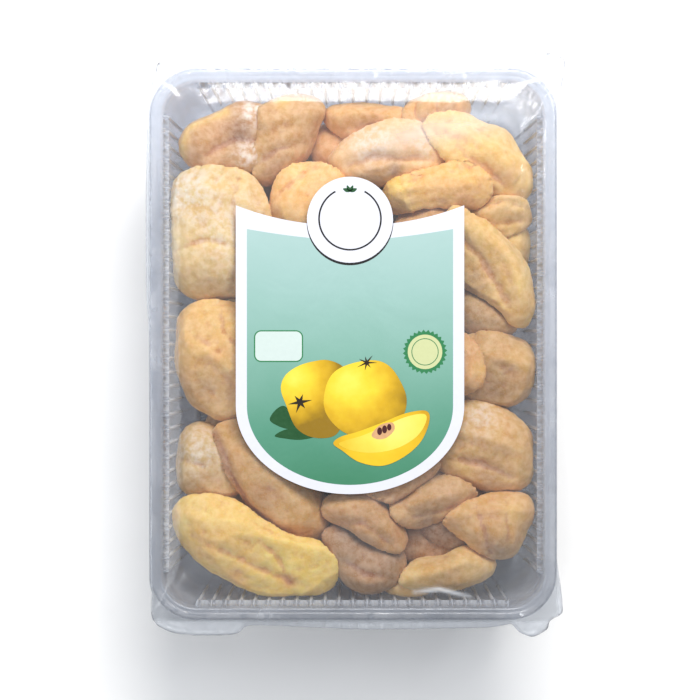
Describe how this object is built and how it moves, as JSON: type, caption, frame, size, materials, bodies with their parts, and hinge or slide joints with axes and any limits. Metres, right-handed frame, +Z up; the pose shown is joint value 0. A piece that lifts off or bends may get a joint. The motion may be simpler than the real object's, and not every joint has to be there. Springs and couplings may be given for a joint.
{
  "type": "overwrapped tray of dried quince slices",
  "caption": "Shallow rectangular fluted clear tray heaped with dried quince slices, sealed in clear shrink film with a shield-shaped picture label on top.",
  "frame": {"origin": "middle of the underside of the pack, on the surface that it lies on", "axes": "+X across the pack, +Y along it towards the label's badge, +Z up, out of the label"},
  "size_m": [0.1378, 0.1908, 0.0495],
  "materials": {
    "clear_tray": "clear, polished, thin",
    "clear_film": "clear, glossy, wrinkled at the edges",
    "label_paper": "satin coated paper, white border",
    "flesh_pale": "dry, granular, slightly translucent fruit flesh",
    "flesh_yellow": "dry, granular, slightly translucent fruit flesh",
    "flesh_golden": "dry, granular, slightly translucent fruit flesh",
    "flesh_amber": "dry, granular, slightly translucent fruit flesh",
    "flesh_tan": "dry, granular, slightly translucent fruit flesh",
    "flesh_brown": "dry, granular, slightly translucent fruit flesh"
  },
  "bodies": {
    "root": {"amber_slice_top": "flesh_amber", "block_slice_left": "flesh_amber", "block_slice_right": "flesh_tan", "block_slice_upper_left": "flesh_pale", "broad_slice_top_left": "flesh_tan", "cored_slice_bottom": "flesh_brown", "cored_slice_top_left": "flesh_tan", "crescent_bottom_right": "flesh_golden", "crescent_by_badge": "flesh_golden", "film_wrap": "clear_film", "floor_slice_01": "flesh_golden", "floor_slice_02": "flesh_tan", "floor_slice_03": "flesh_pale", "floor_slice_04": "flesh_amber", "floor_slice_05": "flesh_golden", "floor_slice_06": "flesh_tan", "floor_slice_07": "flesh_pale", "floor_slice_08": "flesh_amber", "floor_slice_09": "flesh_golden", "floor_slice_10": "flesh_tan", "floor_slice_11": "flesh_pale", "floor_slice_12": "flesh_amber", "floor_slice_13": "flesh_golden", "floor_slice_14": "flesh_tan", "floor_slice_15": "flesh_pale", "half_moon_right": "flesh_golden", "knobbly_slice_top": "flesh_amber", "label": "label_paper", "label_slice_left": "flesh_pale", "label_slice_lower": "flesh_golden", "label_slice_middle": "flesh_golden", "label_slice_right": "flesh_tan", "label_slice_upper_left": "flesh_golden", "label_slice_upper_middle": "flesh_tan", "label_slice_upper_right": "flesh_golden", "lid_slice_bottom": "flesh_tan", "long_slice_top_right": "flesh_golden", "low_slice_beside_date": "flesh_pale", "low_slice_bottom_edge": "flesh_pale", "low_slice_chip": "flesh_brown", "low_slice_lower_middle": "flesh_brown", "low_slice_lower_right": "flesh_brown", "low_slice_right_edge": "flesh_golden", "low_slice_right_middle": "flesh_golden", "pale_slice_right": "flesh_tan", "pink_slice_top": "flesh_pale", "round_slice_by_badge": "flesh_amber", "shell_slice_bottom_right": "flesh_amber", "slab_slice_lower_right": "flesh_amber", "slice_below_label": "flesh_tan", "slice_lower_left_edge": "flesh_pale", "slice_under_label_foot": "flesh_tan", "slice_under_shoulder": "flesh_golden", "thin_slice_right": "flesh_amber", "tray": "clear_tray", "wedge_slice_lower_left": "flesh_tan", "yellow_crescent": "flesh_yellow"}
  },
  "joints": []
}
